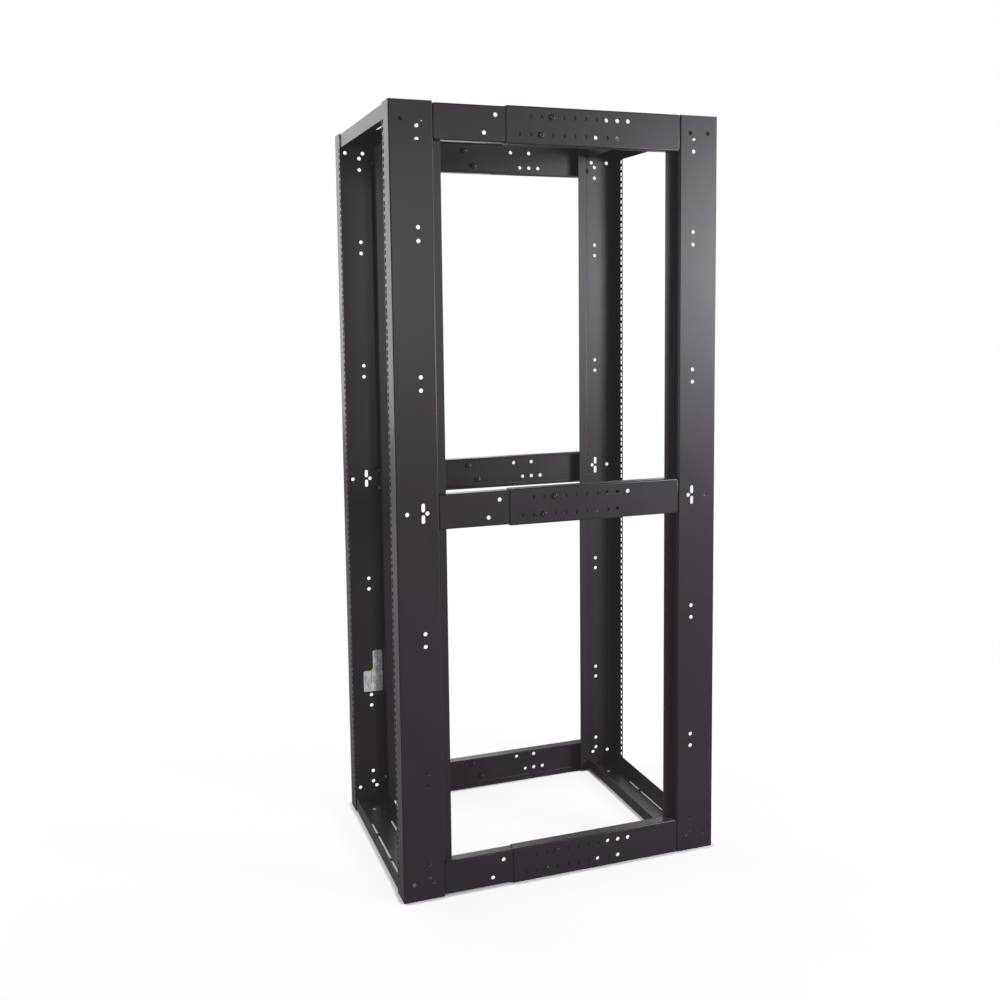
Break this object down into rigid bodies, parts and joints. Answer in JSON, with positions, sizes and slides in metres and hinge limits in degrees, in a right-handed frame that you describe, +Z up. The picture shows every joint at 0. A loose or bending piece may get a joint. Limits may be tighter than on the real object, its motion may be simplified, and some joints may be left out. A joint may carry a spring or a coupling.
{
  "type": "open four-post equipment rack",
  "caption": "Open four-post equipment rack frame with square-hole mounting faces front and rear, slotted crossbars and telescoping side rails that set its depth.",
  "frame": {"origin": "centre of the footprint on the floor, at the depth shown in the picture", "axes": "+X across the rack to its right-hand side seen from the front, +Y from the front face to the rear face, +Z up"},
  "size_m": [0.5694, 0.757, 1.712],
  "materials": {
    "black_powder_coat": "satin black powder coat with a fine texture",
    "black_zinc_fastener": "black zinc-plated steel",
    "silver_label": "satin silver label stock"
  },
  "bodies": {
    "front_frame": {"front_post_right": "black_powder_coat", "front_post_left": "black_powder_coat", "front_crossbar_top": "black_powder_coat", "front_crossbar_bottom": "black_powder_coat", "inner_rail_right_top": "black_powder_coat", "inner_rail_right_middle": "black_powder_coat", "inner_rail_right_bottom": "black_powder_coat", "inner_rail_left_top": "black_powder_coat", "inner_rail_left_middle": "black_powder_coat", "inner_rail_left_bottom": "black_powder_coat", "depth_bolt_right_top_a": "black_zinc_fastener", "depth_bolt_right_top_b": "black_zinc_fastener", "depth_bolt_right_middle_a": "black_zinc_fastener", "depth_bolt_right_middle_b": "black_zinc_fastener", "depth_bolt_right_bottom_a": "black_zinc_fastener", "depth_bolt_right_bottom_b": "black_zinc_fastener", "depth_bolt_left_top_a": "black_zinc_fastener", "depth_bolt_left_top_b": "black_zinc_fastener", "depth_bolt_left_middle_a": "black_zinc_fastener", "depth_bolt_left_middle_b": "black_zinc_fastener", "depth_bolt_left_bottom_a": "black_zinc_fastener", "depth_bolt_left_bottom_b": "black_zinc_fastener", "depth_nut_right_top_a": "black_zinc_fastener", "depth_nut_right_top_b": "black_zinc_fastener", "depth_nut_right_middle_a": "black_zinc_fastener", "depth_nut_right_middle_b": "black_zinc_fastener", "depth_nut_right_bottom_a": "black_zinc_fastener", "depth_nut_right_bottom_b": "black_zinc_fastener", "depth_nut_left_top_a": "black_zinc_fastener", "depth_nut_left_top_b": "black_zinc_fastener", "depth_nut_left_middle_a": "black_zinc_fastener", "depth_nut_left_middle_b": "black_zinc_fastener", "depth_nut_left_bottom_a": "black_zinc_fastener", "depth_nut_left_bottom_b": "black_zinc_fastener", "rating_label": "silver_label", "serial_label": "silver_label"},
    "rear_frame": {"rear_post_right": "black_powder_coat", "rear_post_left": "black_powder_coat", "rear_crossbar_top": "black_powder_coat", "rear_crossbar_bottom": "black_powder_coat", "sleeve_rail_right_top": "black_powder_coat", "sleeve_rail_right_middle": "black_powder_coat", "sleeve_rail_right_bottom": "black_powder_coat", "sleeve_rail_left_top": "black_powder_coat", "sleeve_rail_left_middle": "black_powder_coat", "sleeve_rail_left_bottom": "black_powder_coat"}
  },
  "joints": [
    {"name": "depth_slide", "type": "slide", "parent": "front_frame", "child": "rear_frame", "axis": [0, 1, 0], "range_m": [-0.1016, 0.0508]}
  ]
}
